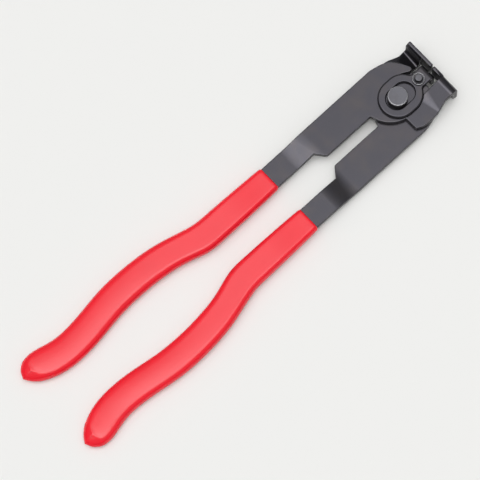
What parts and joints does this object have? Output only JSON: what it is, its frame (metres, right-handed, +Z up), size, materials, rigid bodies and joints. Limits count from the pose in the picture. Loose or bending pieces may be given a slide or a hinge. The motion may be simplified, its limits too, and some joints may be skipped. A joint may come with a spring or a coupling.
{
  "type": "ear clamp pliers",
  "caption": "Ear clamp pliers with crossed flat steel handles, bent jaw blades, a sliding ear plate between the jaw tips and curved dipped grips.",
  "frame": {"origin": "pivot axis at the flat lower face of the pivot rivet", "axes": "+Y along the tool from the pivot to the jaws, +Z up from the face that the pivot rests on, +X to the right handle"},
  "size_m": [0.0586, 0.2489, 0.0162],
  "materials": {
    "blackened_steel": "blackened, semi-matte",
    "blackened_rivet": "blackened, semi-matte, edges rubbed brighter",
    "red_vinyl": "glossy dipped vinyl"
  },
  "bodies": {
    "right_side": {"right_handle": "blackened_steel", "right_grip": "red_vinyl"},
    "left_side": {"left_handle": "blackened_steel", "left_grip": "red_vinyl"},
    "pivot": {"pivot_rivet": "blackened_rivet", "pivot_washer": "blackened_rivet"},
    "ear_stop": {"ear_plate": "blackened_steel", "guide_rivet": "blackened_rivet", "guide_washer": "blackened_rivet"}
  },
  "joints": [
    {"name": "handle_opening", "type": "hinge", "parent": "right_side", "child": "left_side", "pos_m": [0, 0, 0], "axis": [0, 0, -1], "range_deg": [0, 28]},
    {"name": "pivot_turn", "type": "hinge", "parent": "right_side", "child": "pivot", "pos_m": [0, 0, 0], "axis": [0, 0, -1], "range_deg": [0, 14]},
    {"name": "ear_plate_slide", "type": "slide", "parent": "pivot", "child": "ear_stop", "axis": [0, -1, 0], "range_m": [0, 0.001]}
  ],
  "couplings": [
    {"joint": "pivot_turn", "follows": "handle_opening", "ratio": 0.5},
    {"joint": "ear_plate_slide", "follows": "handle_opening", "m_per_rad": 0.0020462}
  ]
}
